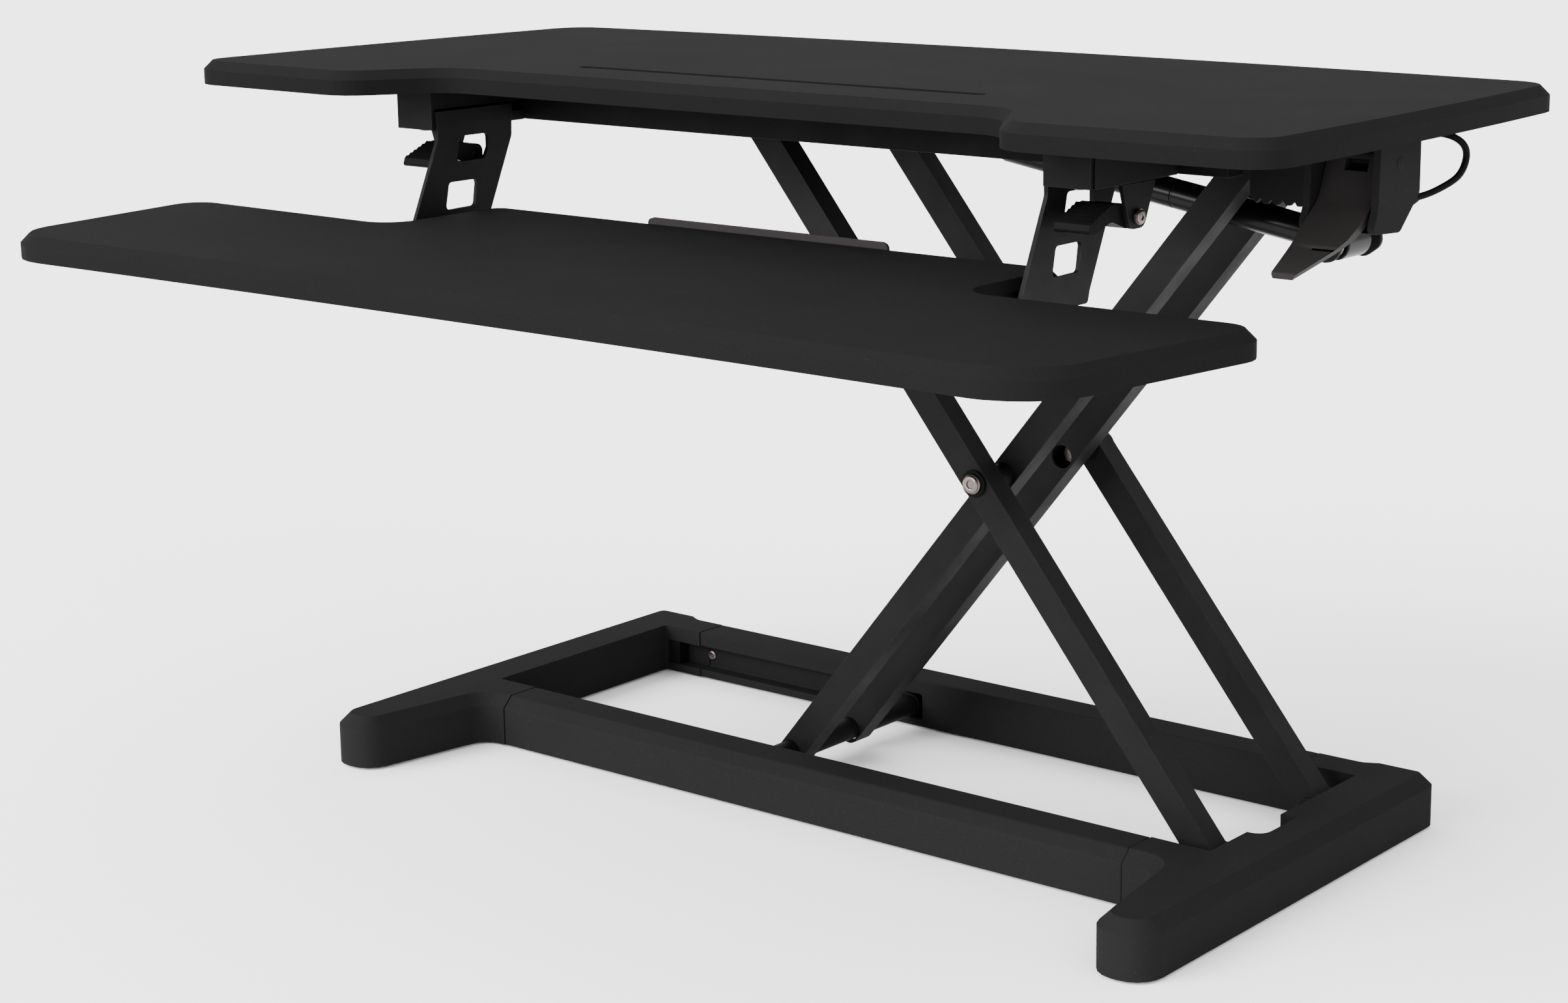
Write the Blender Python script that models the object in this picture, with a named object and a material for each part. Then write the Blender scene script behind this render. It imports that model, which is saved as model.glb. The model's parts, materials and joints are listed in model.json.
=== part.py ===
"""Standing desk converter: a scissor-lift worktop with a keyboard tray.

Lengths are written in millimetres and angles in degrees; the meshes are built in metres, +Z up.
The origin is at the bottom centre of the whole object, X runs to the user's right and Y runs away
from the user.
"""

import math

import bmesh
import bpy
from mathutils import Matrix, Vector

MM = 0.001
GAP = 0.3  # between pieces that touch
ROUND_STEPS = 20  # sides of a turned piece

# Worktop board
BOARD_HALF_WIDTH = 454.0
BOARD_FRONT = -112.5
BOARD_REAR = 302.5  # at the middle of the bowed rear edge
BOARD_REAR_BOW = 18.0
BOARD_SIDE_TAPER = 14.0  # how much narrower the board is at the rear
BOARD_RECESS_FRONT = -51.0
BOARD_RECESS_LEFT = -246.0
BOARD_RECESS_RIGHT = 234.0
RECESS_RUN = 40.0  # length of the S-curve from the recess to a wing
BOARD_BOTTOM = 506.0
BOARD_TOP = 523.0
BOARD_CHAMFER = 6.4
SLOT_HALF_LENGTH = 175.0
SLOT_WIDTH = 10.0
SLOT_DEPTH = 8.0
SLOT_Y = 10.0

# Keyboard tray
TRAY_HALF_WIDTH = 460.0
TRAY_FRONT = -302.5
TRAY_FRONT_BOW = 5.7
TRAY_SIDE_TAPER = 28.0
TRAY_WING_REAR = -105.5
TRAY_REAR = -1.8
TRAY_MIDDLE_HALF_WIDTH = 250.0
TRAY_BOTTOM = 403.5
TRAY_TOP = 420.4
TRAY_CHAMFER = 6.4
STRIP_HALF_LENGTH = 105.0
BRACKET_X = (261.0, 264.0)
FLANGE_REACH = 11.5
MOUNT_BOX_X = (264.5, 299.0)
MOUNT_BOX_Y = (-49.0, 42.0)
MOUNT_BOX_BOTTOM = 478.0

# Base frame
BASE_CENTRE_X = 4.0
FOOT_INNER = 322.0  # from the base centre
FOOT_OUTER = 364.0
FOOT_FRONT = -90.0
FOOT_REAR = 284.5
FOOT_HEIGHT = 39.5
FOOT_WALL_TOP = 31.0  # where the outer chamfer starts
TOE_FLARE = 17.5
PAD_HEIGHT = 2.0
FRONT_BEAM_Y = (16.0, 51.0)
REAR_BEAM_Y = (242.0, 279.0)
BEAM_JOINT_X = 281.0
NOTCH_Y = (97.0, 140.0)
NOTCH_DEPTH = 12.0
POCKET_X = 333.7  # how far the arms' pockets reach into the right foot
POCKET_TOP = 34.0
TRACK_X = (-315.5, -53.0)
TRACK_DEPTH = 12.0

# Scissor mechanism
LIFT_ANGLE = 50.8
ARM_LENGTH = 608.6  # pivot to pivot
PIVOT_HEIGHT = 18.0
RIGHT_PIVOT_X = 319.3
ARM_WIDTH = 20.4
ARM_THICKNESS = 18.0
ARM_WALL = 2.0
MECHANISM_Y = 142.0
OUTER_ARM_OFFSET = 59.0  # from the mechanism's centre plane to an outer arm's inner face
INNER_ARM_OFFSET = 26.0
ARM_MIDDLE_OFFSET = OUTER_ARM_OFFSET + ARM_THICKNESS / 2
AXLE_RADIUS = 8.5
AXLE_END_RADIUS = 5.0
ROLLER_RADIUS = 9.2
ROLLER_SLOT = 9.8  # half the height of the slot the rollers run in
ROLLER_WIDTH = 10.0
CENTRE_BOLT_RADIUS = 4.0
CENTRE_NUT_RADIUS = 6.0
CENTRE_NUT_Y = {"front": (116.5, 120.5), "rear": (183.5, 179.5)}
TOP_RAIL_X = (-322.0, 334.0)
TOP_RAIL_BOTTOM = 478.0

# Gas spring
ANCHOR = (0.0, 488.0)  # x, z
CRANK_PIN = (362.0, 430.0)
CRANK_PIN_RADIUS = 3.5
SPRING_RADIUS = 9.9
SPRING_BORE = 5.0
BARREL_RADIUS = 11.0
BARREL_BORE = 7.0
BARREL_HALF_LENGTH = 14.5

# Release handle
HOUSING_X = (376.0, 428.0)
CHEEK = 5.0
PADDLE_PIVOT = (88.0, 489.0)  # y, z

# Tray latches
LATCH_PIVOT = (-3.0, 457.0)  # y, z
LATCH_RIBS = 6

# Release cable: its centre line from the handle housing to the gas spring
CABLE_RADIUS = 2.3
CABLE_ROUTE = (
    (421.0, 114.5, 464.0),
    (421.6, 118.0, 464.3),
    (428.0, 132.0, 467.5),
    (436.0, 147.0, 475.5),
    (437.0, 156.0, 486.0),
    (436.0, 153.0, 495.5),
    (427.0, 147.0, 501.3),
    (404.0, 142.0, 502.6),
    (340.0, 142.0, 502.6),
    (240.0, 142.0, 502.6),
    (140.0, 142.0, 502.6),
    (70.0, 142.0, 502.0),
    (36.0, 142.0, 499.0),
    (17.0, 142.0, 495.0),
)

LIFT = math.radians(LIFT_ANGLE)
HALF_SPAN = ARM_LENGTH / 2 * math.cos(LIFT)
HALF_RISE = ARM_LENGTH / 2 * math.sin(LIFT)
CENTRE = (RIGHT_PIVOT_X - HALF_SPAN, PIVOT_HEIGHT + HALF_RISE)
ROLLER_X = RIGHT_PIVOT_X - 2 * HALF_SPAN
TOP_PIVOT_Z = PIVOT_HEIGHT + 2 * HALF_RISE
UNDERSIDE = BOARD_BOTTOM - GAP


# ------------------------------------------------------------------ materials

def material(name, colour, roughness, metallic=0.0):
    made = bpy.data.materials.new(name)
    made.use_nodes = True
    shader = made.node_tree.nodes["Principled BSDF"]
    shader.inputs["Base Color"].default_value = (*colour, 1.0)
    shader.inputs["Roughness"].default_value = roughness
    shader.inputs["Metallic"].default_value = metallic
    made.diffuse_color = (*colour, 1.0)
    return made


# ------------------------------------------------------------------ outlines

def rounded(corners, step=18.0):
    """The outline through (u, v, radius) corners, each an arc with a point every `step` degrees."""
    points = []
    for index, (u, v, radius) in enumerate(corners):
        here = Vector((u, v))
        if not radius:
            points.append(here)
            continue
        before = (Vector(corners[index - 1][:2]) - here).normalized()
        after = (Vector(corners[(index + 1) % len(corners)][:2]) - here).normalized()
        half = before.angle(after) / 2
        centre = here + (before + after).normalized() * radius / math.sin(half)
        start = here + before * radius / math.tan(half) - centre
        end = here + after * radius / math.tan(half) - centre
        sweep = math.atan2(start.x * end.y - start.y * end.x, start.dot(end))
        steps = max(2, round(abs(math.degrees(sweep)) / step))
        for part in range(steps + 1):
            angle = sweep * part / steps
            turned = Matrix.Rotation(angle, 2) @ start
            points.append(centre + turned)
    return [(point.x, point.y) for point in points]


def bowed(start, end, sagitta, steps=8):
    """Points between two corners of an outline, on a shallow arc to the right of the straight line."""
    first, last = Vector(start), Vector(end)
    side = Vector((last.y - first.y, first.x - last.x)).normalized()
    points = []
    for part in range(1, steps):
        t = part / steps
        place = first.lerp(last, t) + side * sagitta * 4 * t * (1 - t)
        points.append((place.x, place.y, 0.0))
    return points


def mirrored(corners):
    """The whole outline of a shape given by its right half, front to rear, with corners (x, y, radius)."""
    return corners + [(-x, y, radius) for x, y, radius in reversed(corners)]


def rectangle(u, v, radius=0.0):
    return rounded([(u[0], v[0], radius), (u[1], v[0], radius), (u[1], v[1], radius), (u[0], v[1], radius)])


# ------------------------------------------------------------------ solids

AXES = {
    "X": lambda u, v, w: (w, u, v),
    "Y": lambda u, v, w: (u, w, v),
    "Z": lambda u, v, w: (u, v, w),
}


def prism(outline, axis, low, high, chamfer=0.0, chamfered=None):
    """A bmesh of the outline extruded along an axis, with an optional chamfer round its high end.

    `chamfered` tells of an edge of that end whether it takes the chamfer.
    """
    place = AXES[axis]
    bm = bmesh.new()
    face = bm.faces.new([bm.verts.new(place(u, v, low)) for u, v in outline])
    made = bmesh.ops.extrude_face_region(bm, geom=[face])["geom"]
    top = [item for item in made if isinstance(item, bmesh.types.BMVert)]
    bmesh.ops.translate(bm, verts=top, vec=place(0.0, 0.0, high - low))
    bmesh.ops.recalc_face_normals(bm, faces=bm.faces)
    if chamfer:
        rim = [edge for edge in bm.edges if all(vert in top for vert in edge.verts)]
        if chamfered:
            rim = [edge for edge in rim if chamfered(edge)]
        bmesh.ops.bevel(bm, geom=rim, offset=chamfer, offset_type="OFFSET", segments=1, affect="EDGES")
    return bm


def box(x, y, z):
    return prism(rectangle(x, y), "Z", z[0], z[1])


def turned(profile, axis, at, steps=ROUND_STEPS):
    """A bmesh turned about an axis through `at`; the closed profile is (distance along it, radius)."""
    place = AXES[axis]
    bm = bmesh.new()
    verts = [bm.verts.new(Vector(place(radius, 0.0, along)) + Vector(at)) for along, radius in profile]
    ring = verts + verts[:1]
    edges = [bm.edges.new(pair) for pair in zip(ring, ring[1:]) if pair[0] is not pair[1]]
    turn_axis = place(0.0, 0.0, 1.0)
    bmesh.ops.spin(bm, geom=edges, cent=at, axis=turn_axis, angle=math.tau, steps=steps, use_merge=True)
    bmesh.ops.remove_doubles(bm, verts=bm.verts, dist=0.001)
    loose = [edge for edge in bm.edges if not edge.link_faces]
    bmesh.ops.delete(bm, geom=loose, context="EDGES")
    bmesh.ops.recalc_face_normals(bm, faces=bm.faces)
    return bm


def rod(radius, axis, low, high, at, steps=ROUND_STEPS):
    return turned([(low, 0.0), (low, radius), (high, radius), (high, 0.0)], axis, at, steps)


def tube(inner, outer, axis, low, high, at, steps=ROUND_STEPS):
    return turned([(low, inner), (low, outer), (high, outer), (high, inner)], axis, at, steps)


def bar(start, end, half_width, end_radius, axis, low, high, reach=0.0):
    """A straight bar between two points of a plane, with rounded ends that reach past each point."""
    along = (Vector(end) - Vector(start)).normalized()
    side = Vector((-along.y, along.x)) * half_width
    first = Vector(start) - along * reach
    last = Vector(end) + along * reach
    corners = [first - side, last - side, last + side, first + side]
    outline = rounded([(corner.x, corner.y, end_radius) for corner in corners])
    return prism(outline, axis, low, high)


# ------------------------------------------------------------------ objects

def piece(name, bm, finish, body=None, smooth=False):
    """Turns a bmesh in millimetres into a named object on a body."""
    bmesh.ops.scale(bm, vec=(MM, MM, MM), verts=bm.verts)
    mesh = bpy.data.meshes.new(name)
    bm.to_mesh(mesh)
    bm.free()
    if smooth:
        mesh.shade_smooth()
        mesh.set_sharp_from_angle(angle=math.radians(32.0))
    made = bpy.data.objects.new(name, mesh)
    bpy.context.collection.objects.link(made)
    if finish:
        mesh.materials.append(finish)
    if body:
        origin = Vector(body["world"])
        mesh.transform(Matrix.Translation(-origin))
        made.parent = body
    return made


def shape(obj, operation, *tools):
    """Cuts from, or adds to, an object by Boolean modifiers; the tools stay in the file as wire guides."""
    for index, bm in enumerate(tools):
        tool = piece(f"{obj.name}_{operation.lower()}_{index}", bm, None)
        tool.hide_render = True
        tool.display_type = "WIRE"
        if obj.parent:
            tool.data.transform(Matrix.Translation(-Vector(obj.parent["world"])))
            tool.parent = obj.parent
        step = obj.modifiers.new(f"{operation.title()} {index}", "BOOLEAN")
        step.operation = operation
        step.solver = "EXACT"
        step.object = tool
    return obj


def body(name, at, parent=None):
    """An empty on a joint's axis, which carries the pieces that move about it."""
    made = bpy.data.objects.new(name, None)
    made.empty_display_size = 0.03
    bpy.context.collection.objects.link(made)
    place = Vector(at) * MM
    made.parent = parent
    made.location = place - Vector(parent["world"]) if parent else place
    made["world"] = place
    return made


# ------------------------------------------------------------------ base

def foot_outline(side):
    """A foot's outline from above, with stubs that meet the beams; side is 1 for the right foot."""
    inner = FOOT_INNER
    stub = BEAM_JOINT_X + GAP / 2 - side * BASE_CENTRE_X
    notch = [
        (inner, NOTCH_Y[1], 0.0),
        (inner + NOTCH_DEPTH, NOTCH_Y[1], 0.0),
        (inner + NOTCH_DEPTH, NOTCH_Y[0], 10.0),
        (inner, NOTCH_Y[0], 0.0),
    ]
    corners = [
        (inner, FOOT_FRONT, 20.0),
        (FOOT_OUTER, FOOT_FRONT, 20.5),
        (FOOT_OUTER, FOOT_REAR, 12.0),
        (inner - 2.0, FOOT_REAR, 8.0),
        (inner - 12.0, REAR_BEAM_Y[1], 8.0),
        (stub, REAR_BEAM_Y[1], 0.0),
        (stub, REAR_BEAM_Y[0], 0.0),
        (inner, REAR_BEAM_Y[0], 2.0),
        *(notch if side > 0 else []),
        (inner, FRONT_BEAM_Y[1], 2.0),
        (stub, FRONT_BEAM_Y[1], 0.0),
        (stub, FRONT_BEAM_Y[0], 0.0),
        (inner - TOE_FLARE, FRONT_BEAM_Y[0], 16.0),
    ]
    return [(BASE_CENTRE_X + side * x, y, radius) for x, y, radius in corners]


def on_outer_wall(edge):
    """Whether a top edge of a foot faces away from the frame's opening and from the beams."""
    joint = all(abs(abs(vert.co.x) - BEAM_JOINT_X - GAP / 2) < 0.01 for vert in edge.verts)
    reach = FOOT_INNER + NOTCH_DEPTH + 0.5
    inside = all(
        abs(vert.co.x - BASE_CENTRE_X) < reach and FRONT_BEAM_Y[1] - 0.5 < vert.co.y < REAR_BEAM_Y[0] + 0.5
        for vert in edge.verts
    )
    return not joint and not inside


def build_base(base, board, steel, rubber):
    chamfer = FOOT_HEIGHT - FOOT_WALL_TOP
    slot_z = (PIVOT_HEIGHT - ROLLER_SLOT, PIVOT_HEIGHT + ROLLER_SLOT)
    slots = {
        "front": (FRONT_BEAM_Y[1] - TRACK_DEPTH, FRONT_BEAM_Y[1] + 1.0),
        "rear": (REAR_BEAM_Y[0] - 1.0, REAR_BEAM_Y[0] + TRACK_DEPTH),
    }
    for side, name in ((1.0, "right"), (-1.0, "left")):
        outline = rounded(foot_outline(side))
        solid = prism(outline, "Z", PAD_HEIGHT, FOOT_HEIGHT, chamfer=chamfer, chamfered=on_outer_wall)
        foot = piece(f"foot_{name}", solid, board, base)
        if side > 0:
            cuts = [(RIGHT_PIVOT_X, POCKET_X, MECHANISM_Y + sign * ARM_MIDDLE_OFFSET) for sign in (-1.0, 1.0)]
            pockets = [box((low, high), (y - 19.5, y + 19.5), (0.0, POCKET_TOP)) for low, high, y in cuts]
            shape(foot, "DIFFERENCE", *pockets)
        else:
            tracks = [box((TRACK_X[0], 5.0 - BEAM_JOINT_X), y, slot_z) for y in slots.values()]
            shape(foot, "DIFFERENCE", *tracks)
        for place, y in (("front", -52.0), ("rear", 256.0)):
            x = BASE_CENTRE_X + side * (FOOT_INNER + FOOT_OUTER) / 2
            outline = rectangle((x - 13.0, x + 13.0), (y - 20.0, y + 20.0), 8.0)
            pad = prism(outline, "Z", 0.0, PAD_HEIGHT - GAP)
            piece(f"foot_pad_{place}_{name}", pad, rubber, base)
    beams = {
        "front": (FRONT_BEAM_Y[0], FRONT_BEAM_Y[1], chamfer),
        "rear": (REAR_BEAM_Y[1], REAR_BEAM_Y[0], -chamfer),
    }
    for place, (outer, inner, slope) in beams.items():
        corners = [
            (outer, PAD_HEIGHT),
            (inner, PAD_HEIGHT),
            (inner, FOOT_HEIGHT),
            (outer + slope, FOOT_HEIGHT),
            (outer, FOOT_WALL_TOP),
        ]
        reach = BEAM_JOINT_X - GAP / 2
        beam = piece(f"{place}_beam", prism(corners, "X", -reach, reach), board, base)
        shape(beam, "DIFFERENCE", box((-BEAM_JOINT_X - 5.0, TRACK_X[1]), slots[place], slot_z))
        low, high = slots[place]
        stop_y = (low + GAP, high - 2.0) if place == "front" else (low + 2.0, high - GAP)
        stop = box((TRACK_X[0] + GAP, TRACK_X[0] + 11.5), stop_y, (slot_z[0] + GAP, slot_z[1] - GAP))
        piece(f"track_stop_{place}", stop, rubber, base)
    for place, sign in (("front", -1.0), ("rear", 1.0)):
        build_lower_pivot(base, steel, place, sign)


def build_lower_pivot(base, steel, place, sign):
    """A channel welded to the right foot, with a pin that the outer arm turns on."""
    near = MECHANISM_Y + sign * (OUTER_ARM_OFFSET - 6.0)
    far = MECHANISM_Y + sign * (OUTER_ARM_OFFSET + ARM_THICKNESS + 6.0)
    low, high = sorted((near, far))
    inner_face = POCKET_X - GAP
    side = rounded([(300.0, 2.5, 4.0), (inner_face, 2.5, 0.0), (inner_face, 33.0, 6.0), (308.0, 33.0, 9.0)])
    channel = piece(f"pivot_bracket_{place}", prism(side, "Y", low, high), steel, base)
    hollow = box((290.0, inner_face + 10.0), (low + 3.0, high - 3.0), (5.5, 50.0))
    bore = rod(AXLE_END_RADIUS + GAP, "Y", low - 2.0, high + 2.0, (RIGHT_PIVOT_X, 0.0, PIVOT_HEIGHT))
    shape(channel, "DIFFERENCE", hollow, bore)
    head = 3.0 * sign
    ends = (near - 2.5 * sign, far + 0.5 * sign)
    profile = [
        (ends[0], 0.0),
        (ends[0], AXLE_END_RADIUS),
        (ends[1], AXLE_END_RADIUS),
        (ends[1], 8.0),
        (ends[1] + head, 8.0),
        (ends[1] + head, 0.0),
    ]
    pin = turned(profile, "Y", (RIGHT_PIVOT_X, 0.0, PIVOT_HEIGHT))
    piece(f"pivot_pin_{place}", pin, steel, base, smooth=True)


# ------------------------------------------------------------------ scissor arms

def build_arm(name, start, end, low, bores, carrier, paint):
    """A rectangular tube between two pivots. Each bore is (point, radius, low y, high y)."""
    high = low + ARM_THICKNESS
    arm = piece(name, bar(start, end, ARM_WIDTH / 2, 8.0, "Y", low, high, reach=11.5), paint, carrier)
    inside = bar(
        start, end, ARM_WIDTH / 2 - ARM_WALL, 0.0, "Y", low + ARM_WALL, high - ARM_WALL, reach=30.0
    )
    shape(arm, "DIFFERENCE", inside)
    shape(arm, "DIFFERENCE", *(rod(radius, "Y", *span, (x, 0.0, z)) for (x, z), radius, *span in bores))


def stepped_axle(low, high, shoulder_low, shoulder_high):
    return [
        (low, 0.0),
        (low, AXLE_END_RADIUS),
        (shoulder_low, AXLE_END_RADIUS),
        (shoulder_low, AXLE_RADIUS),
        (shoulder_high, AXLE_RADIUS),
        (shoulder_high, AXLE_END_RADIUS),
        (high, AXLE_END_RADIUS),
        (high, 0.0),
    ]


def build_roller(name, carrier, x, z, low, plastic):
    at = (x, 0.0, z)
    pivot = body(f"{name}_axis", (x, low + ROLLER_WIDTH / 2, z), carrier)
    inner = AXLE_END_RADIUS + GAP
    profile = [
        (low, inner),
        (low, ROLLER_RADIUS - 1.0),
        (low + 1.0, ROLLER_RADIUS),
        (low + ROLLER_WIDTH - 1.0, ROLLER_RADIUS),
        (low + ROLLER_WIDTH, ROLLER_RADIUS - 1.0),
        (low + ROLLER_WIDTH, inner),
    ]
    piece(name, turned(profile, "Y", at), plastic, pivot, smooth=True)


def build_outer_arms(arms, paint, steel, bolt_metal, plastic):
    top = (ROLLER_X, TOP_PIVOT_Z)
    bottom = (RIGHT_PIVOT_X, PIVOT_HEIGHT)
    for place, low in (
        ("front", MECHANISM_Y - OUTER_ARM_OFFSET - ARM_THICKNESS),
        ("rear", MECHANISM_Y + OUTER_ARM_OFFSET),
    ):
        ends = (low - 1.0, low + ARM_THICKNESS + 1.0)
        bores = [
            (bottom, AXLE_END_RADIUS + GAP, *ends),
            (CENTRE, CENTRE_BOLT_RADIUS + GAP, *ends),
            (top, AXLE_RADIUS + GAP, *ends),
        ]
        build_arm(f"outer_arm_{place}", bottom, top, low, bores, arms, paint)
    profile = stepped_axle(48.5, 235.5, 63.0, 221.0)
    piece("upper_axle", turned(profile, "Y", (ROLLER_X, 0.0, TOP_PIVOT_Z)), steel, arms, smooth=True)
    build_roller("upper_roller_front", arms, ROLLER_X, TOP_PIVOT_Z, 50.0, plastic)
    build_roller("upper_roller_rear", arms, ROLLER_X, TOP_PIVOT_Z, 224.0, plastic)
    at = (CENTRE[0], 0.0, CENTRE[1])
    for place, sign in (("front", -1.0), ("rear", 1.0)):
        outer_face = MECHANISM_Y + sign * (OUTER_ARM_OFFSET + ARM_THICKNESS)
        inner_wall = MECHANISM_Y + sign * (INNER_ARM_OFFSET + ARM_THICKNESS)
        washer = sorted((outer_face + sign * GAP, outer_face + sign * 1.3))
        piece(f"centre_washer_{place}", tube(CENTRE_BOLT_RADIUS + GAP, 8.2, "Y", *washer, at), plastic, arms)
        bush = sorted((outer_face - sign * (ARM_THICKNESS + GAP), inner_wall + sign * GAP))
        piece(f"centre_bush_{place}", tube(CENTRE_BOLT_RADIUS + GAP, 8.5, "Y", *bush, at), plastic, arms)
        nut = CENTRE_NUT_Y[place]
        build_centre_bolt(place, sign, outer_face + sign * 1.6, nut, arms, bolt_metal)


def build_centre_bolt(place, sign, head_face, nut, arms, bolt_metal):
    """A flat-headed bolt through an outer and an inner arm, with a nut on its far end."""
    profile = [
        (head_face + sign * 3.0, 0.0),
        (head_face + sign * 3.0, 5.8),
        (head_face + sign * 2.2, 7.0),
        (head_face, 7.0),
        (head_face, CENTRE_BOLT_RADIUS),
        (nut[0], CENTRE_BOLT_RADIUS),
        (nut[0], CENTRE_NUT_RADIUS),
        (nut[1], CENTRE_NUT_RADIUS),
        (nut[1], 0.0),
    ]
    at = (CENTRE[0], 0.0, CENTRE[1])
    piece(f"centre_bolt_{place}", turned(profile, "Y", at), bolt_metal, arms, smooth=True)


def build_inner_arms(arms, paint, steel, bolt_metal, plastic):
    top = (RIGHT_PIVOT_X, TOP_PIVOT_Z)
    bottom = (ROLLER_X, PIVOT_HEIGHT)
    front_low = MECHANISM_Y - INNER_ARM_OFFSET - ARM_THICKNESS
    rear_low = MECHANISM_Y + INNER_ARM_OFFSET
    wide, narrow = 8.5, CENTRE_BOLT_RADIUS + GAP
    for place, low, near_radius in (("front", front_low, narrow), ("rear", rear_low, wide)):
        middle = low + ARM_THICKNESS / 2
        high = low + ARM_THICKNESS
        bores = [
            (bottom, AXLE_RADIUS + GAP, low - 1.0, high + 1.0),
            (CENTRE, near_radius, low - 1.0, middle),
            (CENTRE, narrow, middle - 1.0, high + 1.0),
            (top, AXLE_RADIUS + GAP, low - 1.0, high + 1.0),
        ]
        build_arm(f"inner_arm_{place}", bottom, top, low, bores, arms, paint)
    profile = stepped_axle(40.2, 252.5, 53.0, 240.0)
    piece("lower_axle", turned(profile, "Y", (ROLLER_X, 0.0, PIVOT_HEIGHT)), steel, arms, smooth=True)
    build_roller("lower_roller_front", arms, ROLLER_X, PIVOT_HEIGHT, 40.7, plastic)
    build_roller("lower_roller_rear", arms, ROLLER_X, PIVOT_HEIGHT, 242.0, plastic)
    pivot_axle = rod(AXLE_RADIUS, "Y", 50.0, 234.0, (RIGHT_PIVOT_X, 0.0, TOP_PIVOT_Z))
    piece("pivot_axle", pivot_axle, steel, arms, smooth=True)
    left, right = RIGHT_PIVOT_X - 12.3, CRANK_PIN[0] + 11.0
    upper, lower = TOP_PIVOT_Z + 12.0, CRANK_PIN[1] - 11.0
    crank = rounded([
        (left, TOP_PIVOT_Z - 13.0, 10.0),
        (338.0, TOP_PIVOT_Z - 13.0, 8.0),
        (right - 22.0, 468.0, 8.0),
        (right - 22.0, lower, 10.0),
        (right, lower, 10.0),
        (right - 3.0, 462.0, 14.0),
        (344.0, upper, 12.0),
        (left, upper, 10.0),
    ])
    thickness = 3.0
    cranks = {
        "front": MECHANISM_Y - INNER_ARM_OFFSET + GAP,
        "rear": MECHANISM_Y + INNER_ARM_OFFSET - GAP - thickness,
    }
    for place, low in cranks.items():
        high = low + thickness
        blank = prism(crank, "Y", low, high)
        if place == "rear":
            blank = bar(top, CRANK_PIN, 11.5, 8.0, "Y", low, high, reach=11.5)
        plate = piece(f"crank_plate_{place}", blank, paint, arms)
        holes = [
            rod(radius + GAP, "Y", low - 1.0, low + thickness + 1.0, (point[0], 0.0, point[1]))
            for point, radius in ((top, AXLE_RADIUS), (CRANK_PIN, CRANK_PIN_RADIUS))
        ]
        shape(plate, "DIFFERENCE", *holes)
    first = cranks["front"] - 2.0
    head = cranks["front"] + thickness + GAP
    profile = [
        (first, 0.0),
        (first, CRANK_PIN_RADIUS),
        (head, CRANK_PIN_RADIUS),
        (head, 4.6),
        (head + 3.4, 4.6),
        (head + 3.4, 9.0),
        (head + 5.4, 9.0),
        (head + 5.4, CRANK_PIN_RADIUS),
        (cranks["rear"] + thickness + 2.0, CRANK_PIN_RADIUS),
        (cranks["rear"] + thickness + 2.0, 0.0),
    ]
    crank_pin = turned(profile, "Y", (CRANK_PIN[0], 0.0, CRANK_PIN[1]))
    piece("crank_pin", crank_pin, bolt_metal, arms, smooth=True)


# ------------------------------------------------------------------ worktop

def build_desktop(top, board):
    rear_half_width = BOARD_HALF_WIDTH - BOARD_SIDE_TAPER
    rear_corner = (rear_half_width, BOARD_REAR - BOARD_REAR_BOW)
    front_corner = (BOARD_HALF_WIDTH, BOARD_FRONT + 2.0)
    right_half = [
        (BOARD_RECESS_RIGHT, BOARD_RECESS_FRONT, 38.0),
        (BOARD_RECESS_RIGHT + RECESS_RUN, BOARD_FRONT - 1.5, 34.0),
        (*front_corner, 28.0),
        *bowed(front_corner, rear_corner, 4.0)[1:-1],
        (*rear_corner, 34.0),
        *bowed(rear_corner, (-rear_corner[0], rear_corner[1]), BOARD_REAR_BOW, 16)[1:7],
    ]
    corners = mirrored(right_half)
    corners[-2:] = [
        (BOARD_RECESS_LEFT - RECESS_RUN, BOARD_FRONT - 1.5, 34.0),
        (BOARD_RECESS_LEFT, BOARD_RECESS_FRONT, 38.0),
    ]
    corners.insert(len(right_half), (0.0, BOARD_REAR, 0.0))
    bm = prism(rounded(corners, 15.0), "Z", BOARD_BOTTOM, BOARD_TOP, chamfer=BOARD_CHAMFER)
    desktop = piece("desktop", bm, board, top)
    slot_x = (-SLOT_HALF_LENGTH, SLOT_HALF_LENGTH)
    slot_y = (SLOT_Y - SLOT_WIDTH / 2, SLOT_Y + SLOT_WIDTH / 2)
    groove = rectangle(slot_x, slot_y, SLOT_WIDTH / 2.02)
    shape(desktop, "DIFFERENCE", prism(groove, "Z", BOARD_TOP - SLOT_DEPTH, BOARD_TOP + 5.0))


def build_top_rails(top, steel):
    """Two rails under the board: a slot for the upper rollers, and a blind bore for the inner arms' axle."""
    slot_z = (TOP_PIVOT_Z - ROLLER_SLOT, TOP_PIVOT_Z + ROLLER_SLOT)
    for place, y, slot_y, bore_y in (
        ("front", (44.0, 62.0), (47.0, 63.0), (49.0, 63.0)),
        ("rear", (222.0, 240.0), (221.0, 237.0), (221.0, 235.0)),
    ):
        rail = piece(f"top_rail_{place}", box(TOP_RAIL_X, y, (TOP_RAIL_BOTTOM, UNDERSIDE)), steel, top)
        slot = box((-303.0, ROLLER_X + 18.0), slot_y, slot_z)
        bore = rod(AXLE_RADIUS + GAP, "Y", *bore_y, (RIGHT_PIVOT_X, 0.0, TOP_PIVOT_Z))
        shape(rail, "DIFFERENCE", slot, bore)


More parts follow.
